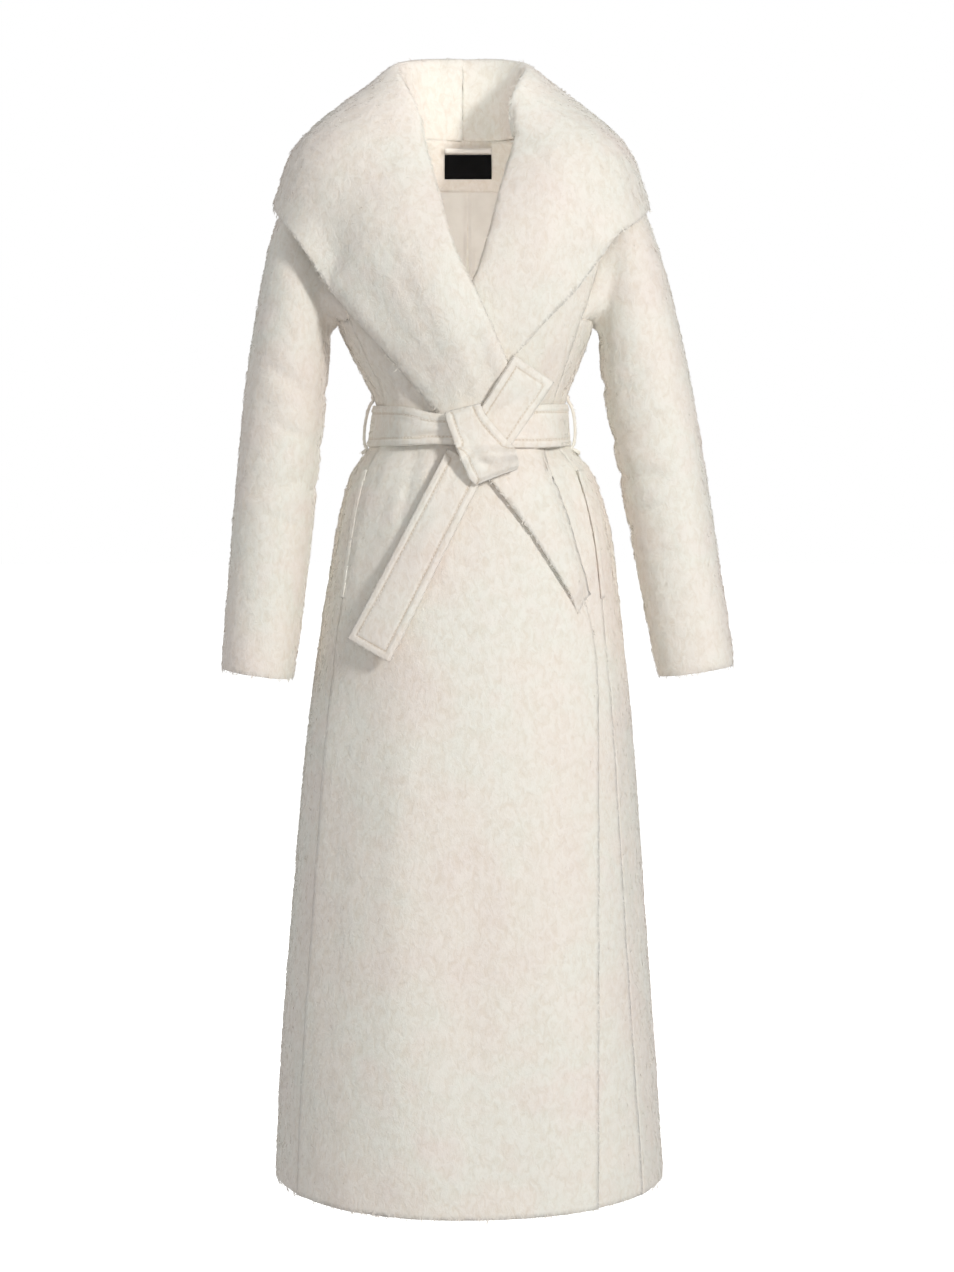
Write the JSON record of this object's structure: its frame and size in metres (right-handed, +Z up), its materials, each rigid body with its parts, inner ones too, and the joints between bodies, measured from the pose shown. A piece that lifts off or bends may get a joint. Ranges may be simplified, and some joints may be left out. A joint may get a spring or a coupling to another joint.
{
  "type": "wrap coat",
  "caption": "Long cream wrap coat in brushed curly wool cloth with a very wide shawl collar, in-seam pockets and a tied cloth belt, filled out as it is worn.",
  "frame": {"origin": "middle of the neckline, level with the seam that joins the collar to the back, where the coat hangs on the wearer's neck and shoulders", "axes": "+Z up, -Y the front of the coat, +X the wearer's left"},
  "size_m": [0.612, 0.3866, 1.3655],
  "materials": {
    "coat_cloth": "matte",
    "belt_cloth": "matte",
    "lining": "satin",
    "label": "matte"
  },
  "bodies": {
    "root": {"front_right": "coat_cloth", "front_left": "coat_cloth", "side_right": "coat_cloth", "side_left": "coat_cloth", "back": "coat_cloth", "collar_right": "coat_cloth", "collar_left": "coat_cloth", "sleeve_right": "coat_cloth", "sleeve_left": "coat_cloth", "back_neck_facing": "coat_cloth", "back_lining": "lining", "neck_label": "label", "hanger_loop": "lining", "belt_waist": "belt_cloth", "belt_tail_upper": "belt_cloth", "belt_tail_lower": "belt_cloth", "belt_knot": "belt_cloth", "belt_loop_right": "belt_cloth", "belt_loop_left": "belt_cloth", "pocket_welt_right": "coat_cloth", "pocket_welt_left": "coat_cloth"}
  },
  "joints": []
}
